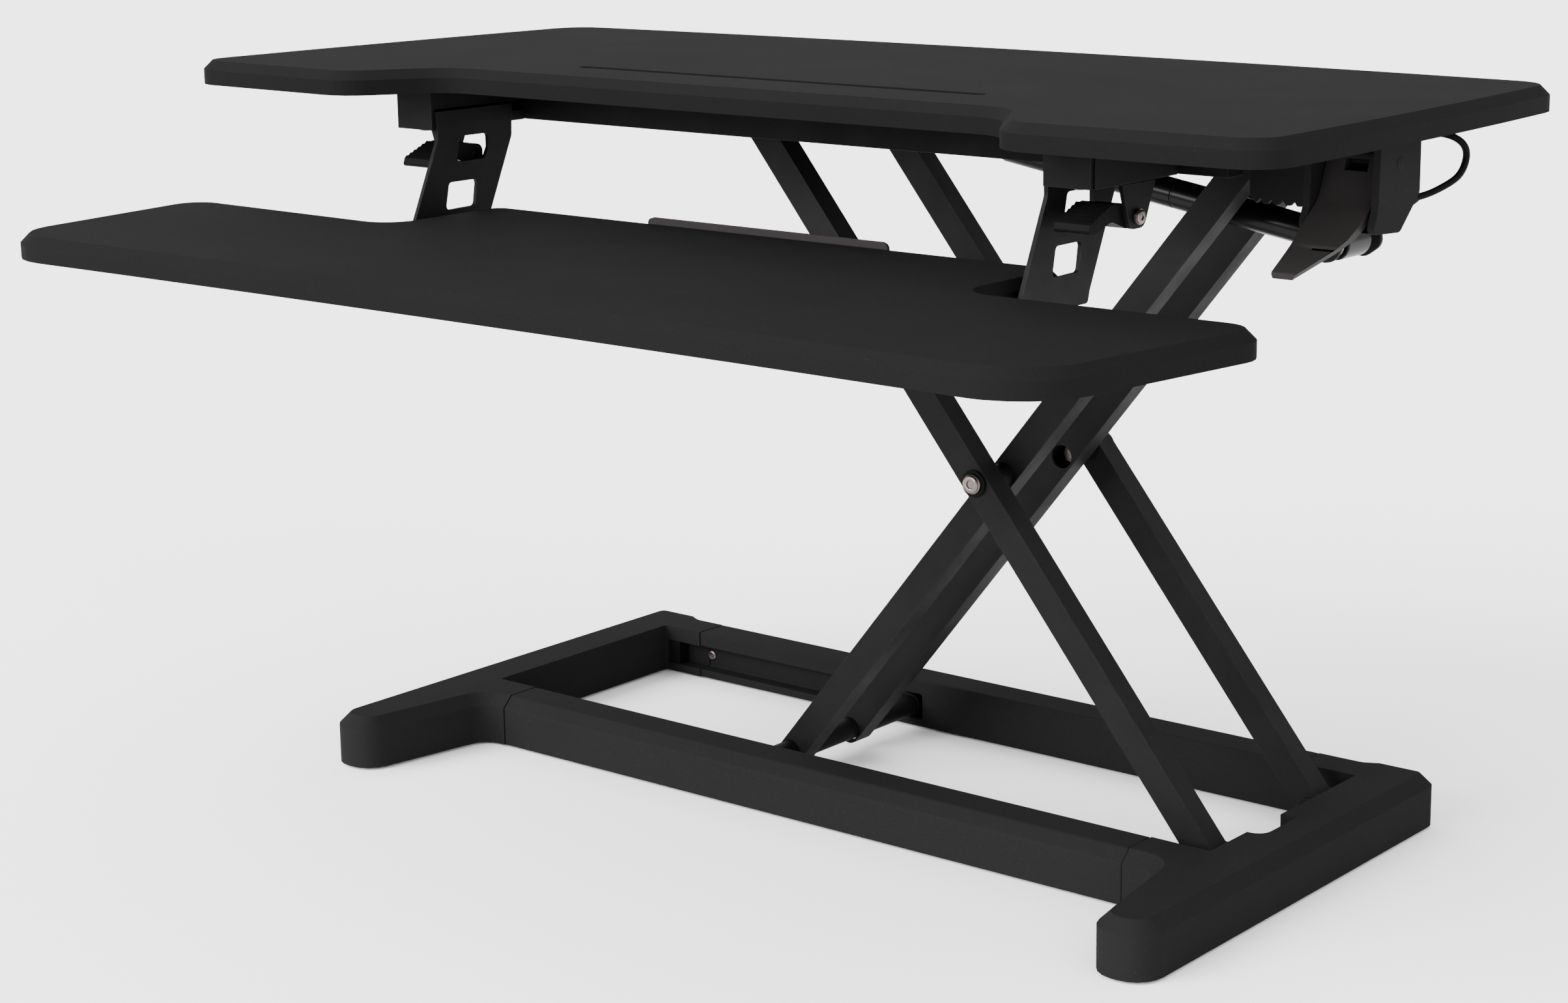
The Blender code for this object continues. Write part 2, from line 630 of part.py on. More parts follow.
def build_tray_mounts(top, side, name, steel, bolt_metal):
    """The channel that a tray bracket slides into, with the hanging bracket that its latch lever turns on."""
    near, far = MOUNT_BOX_X
    section = [
        (near, MOUNT_BOX_BOTTOM),
        (far, MOUNT_BOX_BOTTOM),
        (far, UNDERSIDE),
        (near, UNDERSIDE),
        (near, 492.5),
        (near + 13.0, 492.5),
        (near + 13.0, 485.0),
        (near, 485.0),
    ]
    channel = prism([(side * x, z) for x, z in section], "Y", *MOUNT_BOX_Y)
    piece(f"mount_box_{name}", channel, steel, top)
    hanger = rounded([
        (-20.0, MOUNT_BOX_BOTTOM - GAP, 0.0),
        (-11.0, 449.5, 6.0),
        (5.0, 449.5, 7.0),
        (17.0, MOUNT_BOX_BOTTOM - GAP, 0.0),
    ])
    plate_x = sorted((side * 296.0, side * 299.0))
    plate = piece(f"latch_bracket_{name}", prism(hanger, "X", *plate_x), steel, top)
    at = (0.0, LATCH_PIVOT[0], LATCH_PIVOT[1])
    shape(plate, "DIFFERENCE", rod(3.3, "X", min(plate_x) - 1.0, max(plate_x) + 1.0, at))
    profile = [
        (side * 272.0, 0.0),
        (side * 272.0, 3.0),
        (side * 299.3, 3.0),
        (side * 299.3, 5.0),
        (side * 301.5, 5.0),
        (side * 301.5, 0.0),
    ]
    piece(f"latch_bolt_{name}", turned(profile, "X", at), bolt_metal, top, smooth=True)


def build_latch_lever(lever, side, name, plastic):
    """A ribbed finger pad on an arm, with a hub round the pivot bolt."""
    low, high = sorted((side * 270.0, side * 295.5))
    ribs = []
    for index in range(LATCH_RIBS):
        y = -49.0 + 4.0 * index
        z = 456.5 + 1.7 * index
        ribs += [(y, z, 0.0), (y + 2.0, z + 1.7, 0.0), (y + 2.0, z + 0.6, 0.0)]
    profile = rounded([
        (4.0, 450.0, 5.0),
        (4.0, 464.0, 6.0),
        (-8.0, 464.0, 6.0),
        (-20.0, 466.5, 4.0),
        *reversed(ribs),
        (-51.0, 451.0, 2.0),
        (-44.0, 450.0, 3.0),
        (-26.0, 456.0, 6.0),
        (-10.0, 450.0, 5.0),
    ])
    latch = piece(f"latch_lever_{name}", prism(profile, "X", low, high), plastic, lever)
    at = (0.0, LATCH_PIVOT[0], LATCH_PIVOT[1])
    shape(latch, "DIFFERENCE", rod(3.3, "X", low - 1.0, high + 1.0, at))


def build_handle(top, lever, board, steel, grey):
    x_low, x_high = HOUSING_X
    profile = rounded([
        (64.0, UNDERSIDE, 0.0),
        (62.0, 462.0, 3.0),
        (56.0, 449.0, 4.0),
        (90.0, 447.0, 6.0),
        (114.0, 469.0, 5.0),
        (114.0, UNDERSIDE, 0.0),
    ])
    housing = piece("handle_housing", prism(profile, "X", x_low, x_high), board, top)
    cavity = rounded([
        (40.0, UNDERSIDE - 4.0, 0.0),
        (40.0, 428.0, 0.0),
        (60.0, 445.0, 0.0),
        (80.0, 459.0, 20.0),
        (103.0, 480.0, 6.0),
        (103.0, UNDERSIDE - 4.0, 4.0),
    ])
    bore = rod(3.3, "X", x_low - 1.0, x_high + 1.0, (0.0, *PADDLE_PIVOT))
    shape(housing, "DIFFERENCE", prism(cavity, "X", x_low + CHEEK, x_high - CHEEK), bore)
    pin = rod(3.0, "X", x_low + 0.5, x_high - 0.5, (0.0, *PADDLE_PIVOT))
    piece("lever_pin", pin, steel, top, smooth=True)

    teeth = []
    for index in range(5):
        x = 334.0 + 8.0 * index
        teeth += [(x, 459.0, 0.0), (x + 3.0, 462.0, 0.0), (x + 5.0, 459.0, 0.0)]
    plate = [(329.0, UNDERSIDE, 0.0), (329.0, 464.0, 3.0), *teeth, (x_low - GAP, 462.0, 0.0)]
    plate.append((x_low - GAP, UNDERSIDE, 0.0))
    piece("housing_bracket", prism(rounded(plate), "Y", 78.0, 81.0), board, top)

    outline = rounded([
        (95.0, 496.0, 6.0),
        (83.0, 496.0, 6.0),
        (71.0, 467.0, 24.0),
        (38.0, 441.0, 60.0),
        (16.0, 427.5, 2.0),
        (19.0, 423.0, 2.0),
        (42.0, 436.0, 60.0),
        (78.0, 463.0, 30.0),
        (95.0, 484.0, 8.0),
    ])
    margin = CHEEK + 0.8
    paddle = piece("release_lever", prism(outline, "X", x_low + margin, x_high - margin), grey, lever)
    hole = rod(3.3, "X", x_low, x_high, (0.0, *PADDLE_PIVOT))
    tip_side = rounded([
        (x_low + 19.0, 415.0, 0.0),
        (x_high + 8.0, 415.0, 0.0),
        (x_high + 8.0, 478.0, 0.0),
        (x_high - margin, 478.0, 0.0),
        (x_high - margin - 4.0, 446.0, 20.0),
        (x_low + 19.0, 424.0, 0.0),
    ])
    window = box((x_low + 19.0, x_low + 35.0), (50.0, 110.0), (484.0, 491.0))
    shape(paddle, "DIFFERENCE", hole, prism(tip_side, "Y", -20.0, 72.0), window)


def smooth_route(points, steps):
    """Points along a Catmull-Rom curve through the given points."""
    route = []
    ends = [points[0] * 2 - points[1], *points, points[-1] * 2 - points[-2]]
    for before, start, end, after in zip(ends, ends[1:], ends[2:], ends[3:]):
        for step in range(steps):
            t = step / steps
            route.append(
                0.5
                * (
                    2 * start
                    + (end - before) * t
                    + (2 * before - 5 * start + 4 * end - after) * t**2
                    + (3 * start - before - 3 * end + after) * t**3
                )
            )
    return [*route, points[-1]]


def build_cable(top, cable_black):
    points = [Vector(point) for point in CABLE_ROUTE]
    route = smooth_route(points, 5)
    curve = bpy.data.curves.new("release_cable", "CURVE")
    curve.dimensions = "3D"
    spline = curve.splines.new("POLY")
    spline.points.add(len(route) - 1)
    origin = Vector(top["world"])
    for point, place in zip(spline.points, route):
        point.co = (*(place * MM - origin), 1.0)
    curve.bevel_depth = CABLE_RADIUS * MM
    curve.bevel_resolution = 2
    curve.use_fill_caps = True
    curve.materials.append(cable_black)
    cable = bpy.data.objects.new("release_cable", curve)
    bpy.context.collection.objects.link(cable)
    cable.parent = top


# ------------------------------------------------------------------ gas spring

def build_spring_anchor(top, steel):
    x, z = ANCHOR
    low, high = MECHANISM_Y - 11.0, MECHANISM_Y + 11.0
    side = rounded([(x - 14.0, UNDERSIDE, 0.0), (x - 10.0, z - 11.0, 8.0), (x + 10.0, z - 11.0, 8.0),
                    (x + 14.0, UNDERSIDE, 0.0)])
    anchor = piece("spring_anchor", prism(side, "Y", low, high), steel, top)
    bore = rod(4.3, "Y", low - 1.0, high + 1.0, (x, 0.0, z))
    inside = box((x - 30.0, x + 30.0), (low + 3.0, high - 3.0), (400.0, UNDERSIDE - 3.0))
    shape(anchor, "DIFFERENCE", inside, bore)
    piece("anchor_pin", rod(4.0, "Y", low - 1.5, high + 1.5, (x, 0.0, z)), steel, top, smooth=True)


def along_spring(bm, slope):
    """Turns a shape made along +X from the anchor to the spring's slope."""
    about = Vector((ANCHOR[0], MECHANISM_Y, ANCHOR[1]))
    bmesh.ops.rotate(bm, verts=bm.verts, cent=about, matrix=Matrix.Rotation(-slope, 3, "Y"))
    return bm


def build_gas_spring(rod_body, cylinder_body, chrome, gloss):
    reach = math.dist(ANCHOR, CRANK_PIN)
    slope = math.atan2(CRANK_PIN[1] - ANCHOR[1], CRANK_PIN[0] - ANCHOR[0])
    axis = (0.0, MECHANISM_Y, ANCHOR[1])
    eye_low, eye_high = MECHANISM_Y - 7.0, MECHANISM_Y + 7.0
    barrel = rod(9.0, "Y", eye_low, eye_high, (ANCHOR[0], 0.0, ANCHOR[1]))
    eye = piece("gas_rod", barrel, chrome, rod_body, smooth=True)
    shaft = along_spring(rod(4.2, "X", 3.0, 190.0, axis), slope)
    shape(eye, "UNION", shaft)
    shape(eye, "DIFFERENCE", rod(4.3, "Y", eye_low - 1.0, eye_high + 1.0, (ANCHOR[0], 0.0, ANCHOR[1])))

    start = 100.0
    seam = 238.0
    deep = 0.5
    profile = [
        (start, SPRING_BORE),
        (start, SPRING_RADIUS - 1.0),
        (start + 1.0, SPRING_RADIUS),
        (seam, SPRING_RADIUS),
        (seam + deep, SPRING_RADIUS - deep),
        (seam + 3 * deep, SPRING_RADIUS - deep),
        (seam + 4 * deep, SPRING_RADIUS),
        (reach - 2.0, SPRING_RADIUS),
        (reach - 2.0, 0.0),
        (reach - 30.0, 0.0),
        (reach - 30.0, SPRING_BORE),
    ]
    tube_shape = along_spring(turned(profile, "X", axis), slope)
    cylinder = piece("gas_cylinder", tube_shape, gloss, cylinder_body, smooth=True)
    low, high = MECHANISM_Y - BARREL_HALF_LENGTH, MECHANISM_Y + BARREL_HALF_LENGTH
    at = (CRANK_PIN[0], 0.0, CRANK_PIN[1])
    barrel = [
        (low, 0.0),
        (low, BARREL_RADIUS - 0.8),
        (low + 0.8, BARREL_RADIUS),
        (high - 0.8, BARREL_RADIUS),
        (high, BARREL_RADIUS - 0.8),
        (high, 0.0),
    ]
    shape(cylinder, "UNION", turned(barrel, "Y", at))
    shape(cylinder, "DIFFERENCE", rod(BARREL_BORE, "Y", low - 1.0, high + 1.0, at))


# ------------------------------------------------------------------ keyboard tray

def build_tray(tray, board, steel, strip_grey):
    front_corner = (TRAY_HALF_WIDTH - TRAY_SIDE_TAPER, TRAY_FRONT)
    front_edge = bowed((-front_corner[0], front_corner[1]), front_corner, -TRAY_FRONT_BOW, 12)
    right_half = [
        *front_edge[6:-1],
        (*front_corner, 50.0),
        (TRAY_HALF_WIDTH, TRAY_WING_REAR + 1.5, 25.0),
        (TRAY_MIDDLE_HALF_WIDTH, TRAY_WING_REAR - 2.0, 18.0),
        (TRAY_MIDDLE_HALF_WIDTH, TRAY_REAR, 16.0),
    ]
    corners = [*mirrored(right_half), front_edge[5]]
    outline = rounded(corners, 15.0)
    bm = prism(outline, "Z", TRAY_BOTTOM, TRAY_TOP, chamfer=TRAY_CHAMFER)
    piece("keyboard_tray", bm, board, tray)
    strip = rectangle((-STRIP_HALF_LENGTH, STRIP_HALF_LENGTH), (408.0, TRAY_TOP + 3.0), 4.0)
    piece("tray_edge_strip", prism(strip, "Y", TRAY_REAR + GAP, TRAY_REAR + 3.0), strip_grey, tray)
    for side, name in ((1.0, "right"), (-1.0, "left")):
        build_tray_bracket(tray, side, name, steel)


def build_tray_bracket(tray, side, name, steel):
    """A windowed side plate with a foot under the tray and a top flange that slides into the mount box."""
    outline = rounded([
        (-49.0, 491.0, 0.0),
        (-48.0, 472.0, 8.0),
        (-75.0, 412.0, 0.0),
        (-75.0, 400.2, 3.0),
        (-4.0, 400.2, 3.0),
        (-2.0, 408.0, 0.0),
        (25.0, 468.0, 6.0),
        (26.0, 491.0, 0.0),
    ])
    plate_x = sorted((side * BRACKET_X[0], side * BRACKET_X[1]))
    bracket = piece(f"tray_bracket_{name}", prism(outline, "X", *plate_x), steel, tray)
    under = TRAY_BOTTOM - GAP
    foot_x = sorted((side * 206.0, side * (BRACKET_X[0] + 1.0)))
    foot = prism(rectangle(foot_x, (-70.0, -9.0), 5.0), "Z", under - 3.0, under)
    flange_x = sorted((side * (BRACKET_X[1] - 1.0), side * (BRACKET_X[1] + FLANGE_REACH)))
    flange = box(flange_x, (-51.0, 25.5), (487.5, 490.5))
    cap_x = sorted((side * (BRACKET_X[1] - 1.0), side * (MOUNT_BOX_X[1] - 1.5)))
    cap = box(cap_x, (-52.0, MOUNT_BOX_Y[0] - GAP), (MOUNT_BOX_BOTTOM, UNDERSIDE))
    shape(bracket, "UNION", foot, flange, cap)
    windows = (
        [(-27.0, 472.0, 3.0), (-31.0, 454.0, 3.0), (-3.0, 454.0, 3.0), (1.0, 462.0, 2.0), (1.0, 472.0, 3.0)],
        [(-39.0, 440.0, 3.0), (-43.0, 420.5, 3.0), (-14.0, 421.0, 3.0), (-11.0, 440.0, 3.0)],
    )
    cutters = [prism(rounded(window), "X", min(plate_x) - 2.0, max(plate_x) + 2.0) for window in windows]
    shape(bracket, "DIFFERENCE", *cutters)


# ------------------------------------------------------------------ the whole object

def main():
    for old in list(bpy.data.objects):
        bpy.data.objects.remove(old, do_unlink=True)

    board = material("charcoal_board", (0.022, 0.022, 0.023), 0.72)
    frame = material("black_painted_tube", (0.012, 0.012, 0.012), 0.5)
    steel = material("black_steel", (0.009, 0.009, 0.009), 0.45)
    rubber = material("black_rubber", (0.008, 0.008, 0.008), 0.9)
    plastic = material("black_plastic", (0.007, 0.007, 0.007), 0.5)
    grey = material("warm_grey_plastic", (0.032, 0.028, 0.028), 0.55)
    bolt_metal = material("dark_bolt", (0.08, 0.065, 0.06), 0.35, 1.0)
    gloss = material("gloss_black", (0.006, 0.006, 0.006), 0.15)
    chrome = material("polished_rod", (0.55, 0.55, 0.55), 0.12, 1.0)

    base = body("base", (0.0, 0.0, 0.0))
    outer_arms = body("outer_arms", (RIGHT_PIVOT_X, MECHANISM_Y, PIVOT_HEIGHT), base)
    inner_arms = body("inner_arms", (CENTRE[0], MECHANISM_Y, CENTRE[1]), outer_arms)
    worktop = body("worktop", (RIGHT_PIVOT_X, MECHANISM_Y, TOP_PIVOT_Z), inner_arms)
    tray = body("tray", (0.0, 0.0, 489.0), worktop)
    paddle = body("release_paddle", ((HOUSING_X[0] + HOUSING_X[1]) / 2, *PADDLE_PIVOT), worktop)
    gas_rod = body("spring_rod", (ANCHOR[0], MECHANISM_Y, ANCHOR[1]), worktop)
    gas_cylinder = body("spring_cylinder", (CRANK_PIN[0], MECHANISM_Y, CRANK_PIN[1]), gas_rod)

    build_base(base, board, steel, rubber)
    build_outer_arms(outer_arms, frame, steel, bolt_metal, plastic)
    build_inner_arms(inner_arms, frame, steel, bolt_metal, plastic)
    build_desktop(worktop, board)
    build_top_rails(worktop, steel)
    for side, name in ((1.0, "right"), (-1.0, "left")):
        build_tray_mounts(worktop, side, name, steel, bolt_metal)
        latch = body(f"latch_{name}", (side * 282.0, *LATCH_PIVOT), worktop)
        build_latch_lever(latch, side, name, plastic)
    build_handle(worktop, paddle, board, steel, grey)
    build_cable(worktop, plastic)
    build_spring_anchor(worktop, steel)
    build_gas_spring(gas_rod, gas_cylinder, chrome, gloss)
    build_tray(tray, board, steel, grey)


main()
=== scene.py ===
"""Standing desk converter: materials, small hardware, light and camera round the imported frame.

Lengths in the hardware's constants and in the piece builders are millimetres. The meshes are built in
metres, +Z up, and so are the materials' bump depths, the floor, the lights and the camera.
"""

import json
import math

import bmesh
import bpy
from mathutils import Matrix, Vector


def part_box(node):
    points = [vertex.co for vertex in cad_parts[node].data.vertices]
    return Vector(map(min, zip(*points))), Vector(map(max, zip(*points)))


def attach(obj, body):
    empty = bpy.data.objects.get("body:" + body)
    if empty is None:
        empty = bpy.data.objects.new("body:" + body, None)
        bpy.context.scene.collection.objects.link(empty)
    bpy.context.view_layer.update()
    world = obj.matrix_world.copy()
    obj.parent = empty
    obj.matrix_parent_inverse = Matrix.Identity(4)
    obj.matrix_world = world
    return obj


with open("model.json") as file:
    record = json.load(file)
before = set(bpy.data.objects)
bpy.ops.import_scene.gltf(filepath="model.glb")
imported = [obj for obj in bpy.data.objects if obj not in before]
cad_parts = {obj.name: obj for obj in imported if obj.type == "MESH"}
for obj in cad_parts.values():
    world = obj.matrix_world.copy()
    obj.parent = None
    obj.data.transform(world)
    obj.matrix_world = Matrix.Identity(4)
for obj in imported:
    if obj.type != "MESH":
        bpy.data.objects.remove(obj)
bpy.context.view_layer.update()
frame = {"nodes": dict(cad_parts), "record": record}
nodes = frame["nodes"]
MM = 0.001


# ------------------------------------------------------------------ materials

# Specular IOR Level of each kind of surface.
METAL_SHEEN = 0.5
PAINT_SHEEN = 0.05
MATT_SHEEN = 0.02


class Finish:
    """A Principled material with noise-driven colour, roughness and bump, in object coordinates."""

    def __init__(self, name, colour, roughness, metallic=0.0):
        self.material = bpy.data.materials.new(name)
        self.material.use_nodes = True
        self.tree = self.material.node_tree
        self.shader = self.tree.nodes["Principled BSDF"]
        self.shader.inputs["Metallic"].default_value = metallic
        self.shader.inputs["Base Color"].default_value = (*colour, 1.0)
        self.shader.inputs["Roughness"].default_value = roughness
        self.shader.inputs["Specular IOR Level"].default_value = METAL_SHEEN if metallic else PAINT_SHEEN
        self.material.diffuse_color = (*colour, 1.0)
        self.colour = colour
        self.roughness = roughness
        self.place = self.node("ShaderNodeTexCoord").outputs["Object"]
        self.normal = None

    def node(self, kind, **inputs):
        made = self.tree.nodes.new(kind)
        for key, value in inputs.items():
            made.inputs[key.replace("_", " ")].default_value = value
        return made

    def link(self, output, target):
        self.tree.links.new(output, target)

    def stretched(self, scale):
        """The object coordinates scaled per axis, for grain that runs one way."""
        mapping = self.node("ShaderNodeMapping", Scale=scale)
        self.link(self.place, mapping.inputs["Vector"])
        return mapping.outputs["Vector"]

    def noise(self, scale, detail=3.0, rough=0.55, at=None):
        texture = self.node("ShaderNodeTexNoise", Scale=scale, Detail=detail, Roughness=rough)
        self.link(at or self.place, texture.inputs["Vector"])
        return texture.outputs["Fac"]

    def remap(self, value, low, high, to_low, to_high):
        made = self.node("ShaderNodeMapRange")
        for key, number in zip(("From Min", "From Max", "To Min", "To Max"), (low, high, to_low, to_high)):
            made.inputs[key].default_value = number
        self.link(value, made.inputs["Value"])
        return made.outputs["Result"]

    def mix(self, value, first, second):
        made = self.tree.nodes.new("ShaderNodeMix")
        made.data_type = "RGBA"
        self.link(value, made.inputs["Factor"])
        for socket, colour in ((made.inputs["A"], first), (made.inputs["B"], second)):
            if isinstance(colour, tuple):
                socket.default_value = (*colour, 1.0)
            else:
                self.link(colour, socket)
        return made.outputs["Result"]

    def vary_colour(self, value, low, high, darker, lighter):
        """Blends from a darker to a lighter gain of the colour as the value rises."""
        fac = self.remap(value, low, high, 0.0, 1.0)
        tones = [tuple(channel * gain for channel in self.colour) for gain in (darker, lighter)]
        self.tint = self.mix(fac, *tones)
        self.link(self.tint, self.shader.inputs["Base Color"])

    def over_colour(self, value, low, high, colour):
        """Lays another colour over the first where the value is high."""
        self.tint = self.mix(self.remap(value, low, high, 0.0, 1.0), self.tint, colour)
        self.link(self.tint, self.shader.inputs["Base Color"])

    def vary_roughness(self, value, low, high, spread):
        """Moves the roughness up to `spread` either side of its middle value."""
        result = self.remap(value, low, high, self.roughness - spread, self.roughness + spread)
        self.link(result, self.shader.inputs["Roughness"])

    def bump(self, value, distance, strength=1.0):
        """Adds a layer of relief over the ones before it."""
        made = self.node("ShaderNodeBump", Strength=strength, Distance=distance)
        self.link(value, made.inputs["Height"])
        if self.normal:
            self.link(self.normal, made.inputs["Normal"])
        self.normal = made.outputs["Normal"]
        self.link(self.normal, self.shader.inputs["Normal"])

    def edge(self, radius):
        """About 0 on flat faces and more along edges."""
        soft = self.node("ShaderNodeBevel", Radius=radius)
        soft.samples = 4
        flat = self.tree.nodes.new("ShaderNodeNewGeometry")
        dot = self.tree.nodes.new("ShaderNodeVectorMath")
        dot.operation = "DOT_PRODUCT"
        self.link(soft.outputs["Normal"], dot.inputs[0])
        self.link(flat.outputs["Normal"], dot.inputs[1])
        return self.remap(dot.outputs["Value"], 1.0, 0.8, 0.0, 1.0)


def pebbled(name, colour, roughness, scale, depth):
    """Fine pebbled surface: laminate film or moulded plastic."""
    made = Finish(name, colour, roughness)
    made.shader.inputs["Specular IOR Level"].default_value = MATT_SHEEN
    made.vary_colour(made.noise(7.0, 4.0), 0.3, 0.7, 0.96, 1.04)
    speck = made.noise(scale * 0.6, 1.0)
    made.over_colour(speck, 0.66, 0.78, tuple(channel * 1.5 + 0.001 for channel in colour))
    made.vary_roughness(made.noise(12.0, 4.0), 0.3, 0.7, 0.02)
    cells = made.node("ShaderNodeTexVoronoi", Scale=scale)
    made.link(made.place, cells.inputs["Vector"])
    made.bump(cells.outputs["Distance"], depth, 0.5)
    made.bump(made.noise(scale * 2.2, 3.0), depth * 0.6, 0.5)
    return made


def powder_coat(name, colour, roughness, wear):
    """Sprayed paint on tube or sheet steel: orange peel, dust specks and thin worn edges."""
    made = Finish(name, colour, roughness)
    made.vary_colour(made.noise(18.0, 4.0), 0.3, 0.7, 0.82, 1.18)
    speck = made.noise(1500.0, 1.0)
    made.over_colour(speck, 0.7, 0.8, tuple(channel * 2.0 + 0.002 for channel in colour))
    worn = made.tree.nodes.new("ShaderNodeMath")
    worn.operation = "MULTIPLY"
    made.link(made.edge(0.0012), worn.inputs[0])
    made.link(made.remap(made.noise(60.0, 5.0), 0.4, 0.7, 0.1, 1.0), worn.inputs[1])
    made.over_colour(worn.outputs["Value"], 0.0, 1.6, wear)
    made.vary_roughness(made.noise(25.0, 4.0), 0.3, 0.7, 0.07)
    made.bump(made.noise(420.0, 2.0), 0.00012, 0.45)
    made.bump(made.noise(1600.0, 1.0), 0.00004, 0.5)
    return made


def worked_metal(name, colour, roughness, along, scale):
    """Bare metal with fine tool lines; `along` stretches the grain."""
    made = Finish(name, colour, roughness, 1.0)
    grain = made.noise(scale, 4.0, 0.6, made.stretched(along))
    made.vary_colour(made.noise(90.0, 4.0), 0.3, 0.7, 0.75, 1.2)
    made.vary_roughness(grain, 0.3, 0.7, 0.08)
    made.bump(grain, 0.00003, 0.5)
    return made


def glossy_paint(name, colour, roughness):
    """Smooth enamel with faint dust and handling marks."""
    made = Finish(name, colour, roughness)
    made.shader.inputs["Coat Weight"].default_value = 0.12
    made.shader.inputs["Coat Roughness"].default_value = 0.2
    made.vary_colour(made.noise(40.0, 3.0), 0.3, 0.7, 0.85, 1.2)
    made.over_colour(made.noise(900.0, 2.0), 0.7, 0.8, (0.012, 0.012, 0.012))
    made.vary_roughness(made.noise(30.0, 5.0), 0.35, 0.75, 0.06)
    made.bump(made.noise(240.0, 2.0), 0.00003, 0.3)
    return made


FINISHES = {
    "laminate_board": pebbled("laminate_board", (0.0050, 0.0050, 0.0051), 0.80, 1500.0, 0.00010),
    "base_cover": pebbled("base_cover", (0.0078, 0.0075, 0.0076), 0.78, 1300.0, 0.00012),
    "painted_tube": powder_coat("painted_tube", (0.0050, 0.0050, 0.0051), 0.58, (0.022, 0.0215, 0.021)),
    "black_steel": powder_coat("black_steel", (0.0032, 0.0032, 0.0033), 0.55, (0.026, 0.025, 0.024)),
    "rubber": pebbled("rubber", (0.0035, 0.0035, 0.0035), 0.82, 700.0, 0.00012),
    "black_plastic": pebbled("black_plastic", (0.0028, 0.0028, 0.0029), 0.48, 1800.0, 0.00006),
    "grey_plastic": pebbled("grey_plastic", (0.0165, 0.0148, 0.0148), 0.5, 1700.0, 0.00006),
    "bolt_steel": worked_metal("bolt_steel", (0.13, 0.108, 0.10), 0.34, (1.0, 1.0, 1.0), 700.0),
    "gloss_paint": glossy_paint("gloss_paint", (0.0018, 0.0018, 0.0018), 0.34),
    "polished_rod": worked_metal("polished_rod", (0.62, 0.62, 0.63), 0.12, (0.05, 1.0, 1.0), 900.0),
}

slot_of = {entry["node"]: entry["material_slot"] for entry in frame["record"]["subparts"]}
# Width of the rounded edges of each CAD piece.
EDGE = 0.35
SOFT_EDGES = {
    "desktop": 1.6,
    "keyboard_tray": 1.6,
    "foot_left": 1.6,
    "foot_right": 1.6,
    "front_beam": 1.4,
    "rear_beam": 1.4,
    "handle_housing": 0.9,
    "release_lever": 0.9,
}
WIDE_EDGE = 1.0  # edges over this width get a third segment
WELD_DISTANCE = 0.01
EDGE_ANGLE = math.radians(28.0)
SHARP_ANGLE = math.radians(30.0)


def soften(made, width):
    """Rounds the sharp edges a little and shades the surface smooth between them."""
    made.data.shade_smooth()
    normals = made.data.attributes.get("custom_normal")
    if normals:
        made.data.attributes.remove(normals)
    weld = made.modifiers.new("Join", "WELD")
    weld.merge_threshold = WELD_DISTANCE * MM
    edge = made.modifiers.new("Soft edges", "BEVEL")
    edge.width = width * MM
    edge.segments = 3 if width > WIDE_EDGE else 2
    edge.limit_method = "ANGLE"
    edge.angle_limit = EDGE_ANGLE
    edge.harden_normals = True
    edge.miter_outer = "MITER_ARC"


for name, node in nodes.items():
    finish = FINISHES[slot_of[name]].material
    for place in node.material_slots:
        place.material = finish
    if not node.material_slots:
        node.data.materials.append(finish)
    soften(node, SOFT_EDGES.get(name, EDGE))


# ------------------------------------------------------------------ piece builders

def basis(axis):
    """Three directions (u, v, along) of a piece that is turned about an axis."""
    along = Vector(axis).normalized()
    side = Vector((0.0, 0.0, 1.0)) if abs(along.z) < 0.9 else Vector((1.0, 0.0, 0.0))
    u = side.cross(along).normalized()
    return u, along.cross(u), along


def ring(at, axis, along, radius, corners=0, count=24):
    """A loop of points round an axis: a circle, or a polygon that is `radius` from centre to flat."""
    u, v, direction = basis(axis)
    points = []
    for index in range(count):
        angle = math.tau * index / count
        reach = radius
        if corners:
            sector = math.tau / corners
            reach = radius / math.cos((angle % sector) - sector / 2)
        outward = u * math.cos(angle) + v * math.sin(angle)
        points.append(Vector(at) + direction * along + outward * reach)
    return points


def loft(loops):
    """A closed bmesh through loops of equal length, capped at both ends."""
    bm = bmesh.new()
    made = [[bm.verts.new(point * MM) for point in loop] for loop in loops]
    for first, second in zip(made, made[1:]):
        for index in range(len(first)):
            after = (index + 1) % len(first)
            bm.faces.new((first[index], first[after], second[after], second[index]))
    bm.faces.new(made[0][::-1])
    bm.faces.new(made[-1])
    bmesh.ops.recalc_face_normals(bm, faces=bm.faces)
    return bm


def add(name, bm, slot, body, edge=0.0):
    """Makes the object, gives it its material and fixes it to a moving body."""
    mesh = bpy.data.meshes.new(name)
    bm.to_mesh(mesh)
    bm.free()
    made = bpy.data.objects.new(name, mesh)
    bpy.context.collection.objects.link(made)
    mesh.materials.append(FINISHES[slot].material)
    if edge:
        soften(made, edge)
    else:
        mesh.shade_smooth()
        mesh.set_sharp_from_angle(angle=SHARP_ANGLE)
    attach(made, body)


def bolt_head(name, at, axis, radius, height, socket, slot, body, corners=6):
    """A domed head with a socket; `at` is the middle of its seat and the axis points out of it."""
    profile = [
        (0.0, radius),
        (height * 0.55, radius),
        (height * 0.85, radius * 0.9),
        (height, radius * 0.74),
    ]
    loops = [ring(at, axis, along, reach) for along, reach in profile]
    loops.append(ring(at, axis, height, socket * 1.18, corners))
    loops.append(ring(at, axis, height - 0.25, socket, corners))
    loops.append(ring(at, axis, height * 0.35, socket * 0.94, corners))
    add(name, loft(loops), slot, body)


def lathe(name, at, axis, profile, slot, body):
    """A turned piece: (distance along the axis, radius) pairs, capped at both ends."""
    add(name, loft([ring(at, axis, along, radius) for along, radius in profile]), slot, body)


